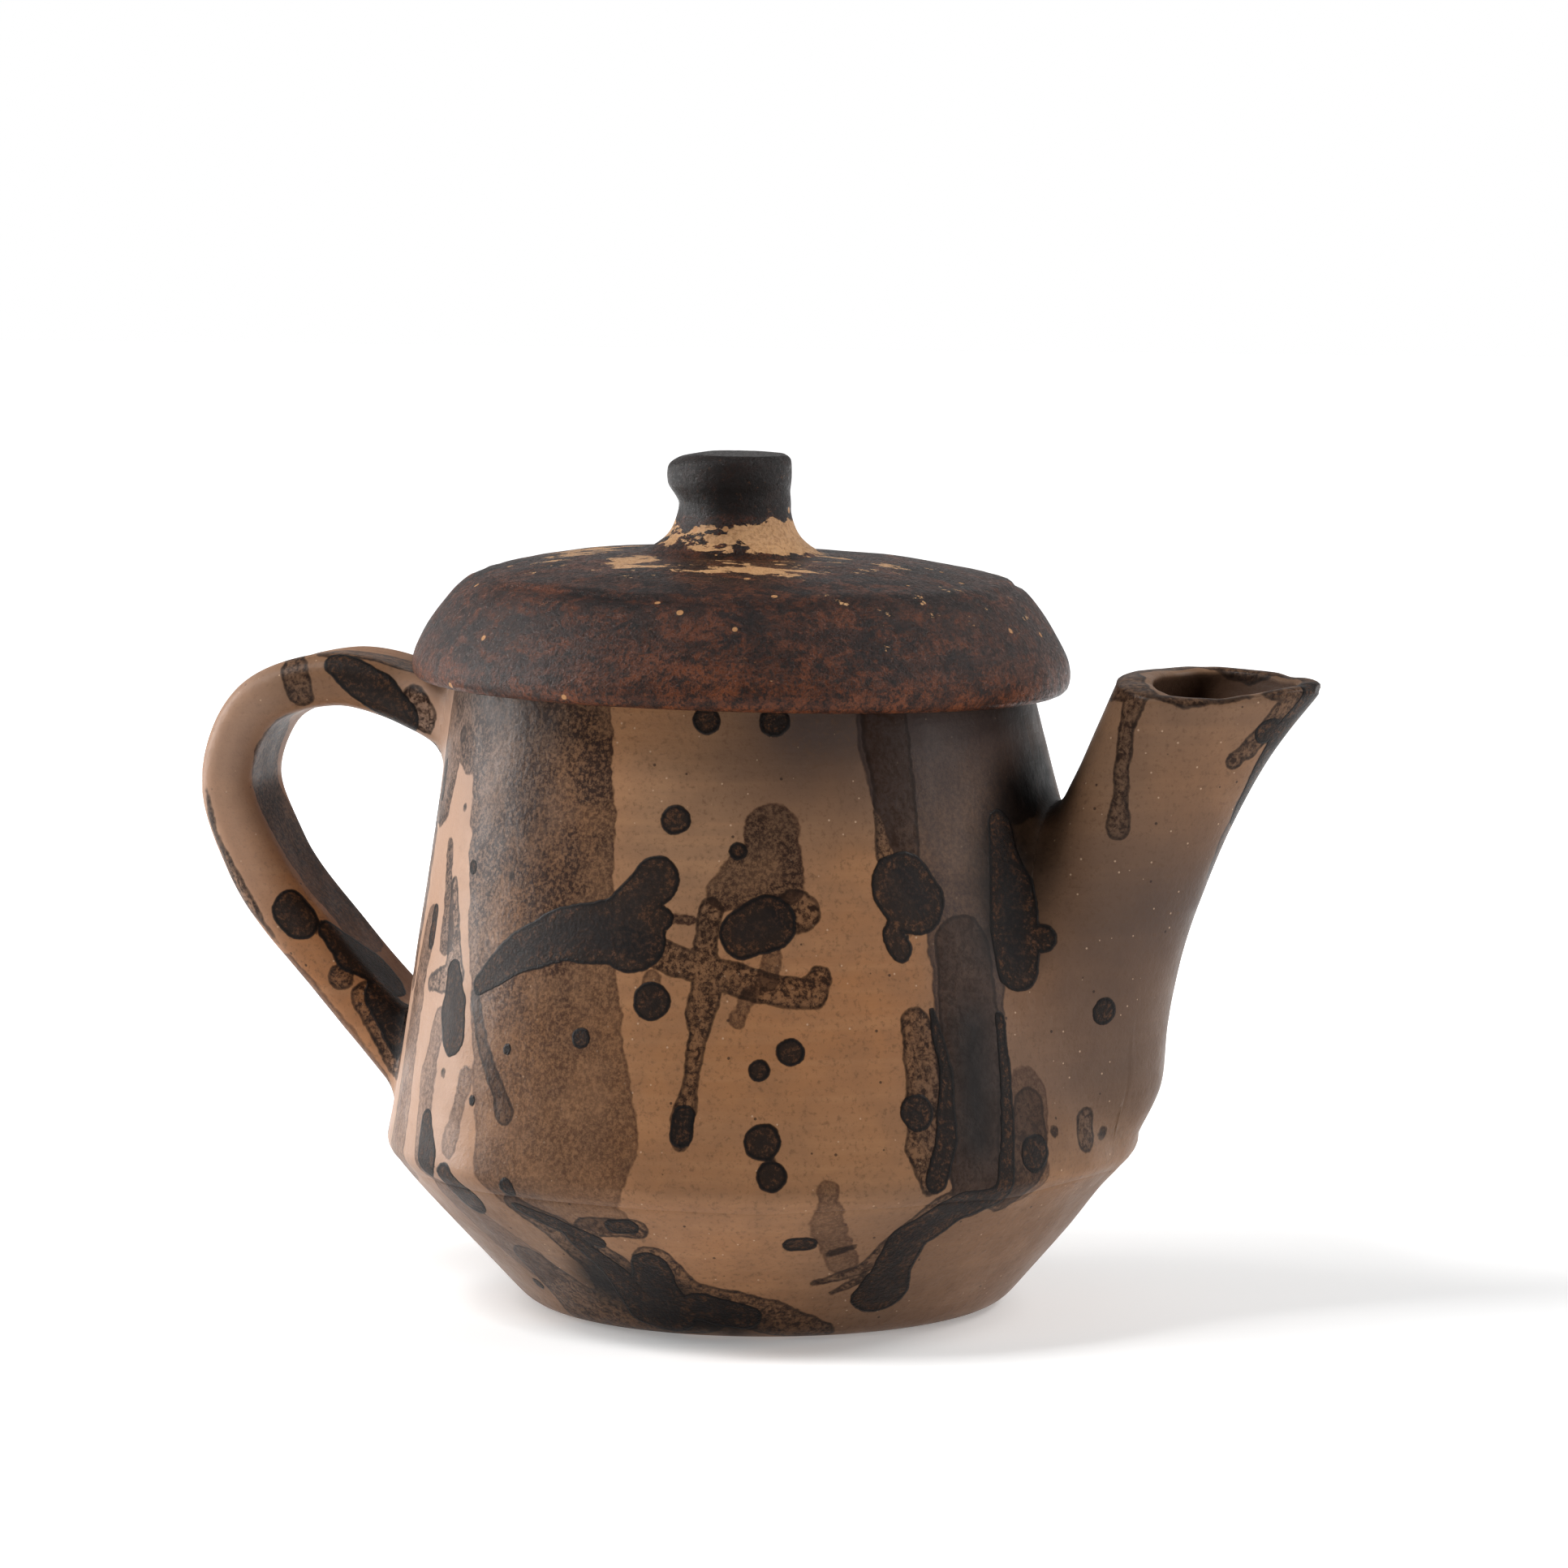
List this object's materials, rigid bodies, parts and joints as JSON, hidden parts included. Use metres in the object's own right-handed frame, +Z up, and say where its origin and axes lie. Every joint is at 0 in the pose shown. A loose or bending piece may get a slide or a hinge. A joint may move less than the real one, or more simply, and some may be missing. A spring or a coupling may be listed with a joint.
{
  "type": "lidded clay pouring pot",
  "caption": "Hand-built unglazed clay pouring pot with a strap handle, a tapered spout with a pinched lip, and a lift-off domed lid with a knob.",
  "frame": {"origin": "centre of the flat face that the pot stands on, on the axis of the lower bowl", "axes": "+Z up out of the resting face, +X towards the spout, -X towards the handle, +Y across the pot"},
  "size_m": [0.2048, 0.1372, 0.1531],
  "materials": {
    "fired_clay": "burnished, unglazed, satin",
    "dark_fired_clay": "burnished, unglazed, dark satin"
  },
  "bodies": {
    "pot": {"lower_bowl": "fired_clay", "upper_wall": "fired_clay", "spout": "fired_clay", "handle": "fired_clay"},
    "lid": {"lid_cap": "dark_fired_clay", "lid_locating_ring": "fired_clay", "lid_knob": "dark_fired_clay"}
  },
  "joints": [
    {"name": "lid_lift", "type": "slide", "parent": "pot", "child": "lid", "axis": [0.0209, 0, 0.9998], "range_m": [0, 0.06]}
  ]
}
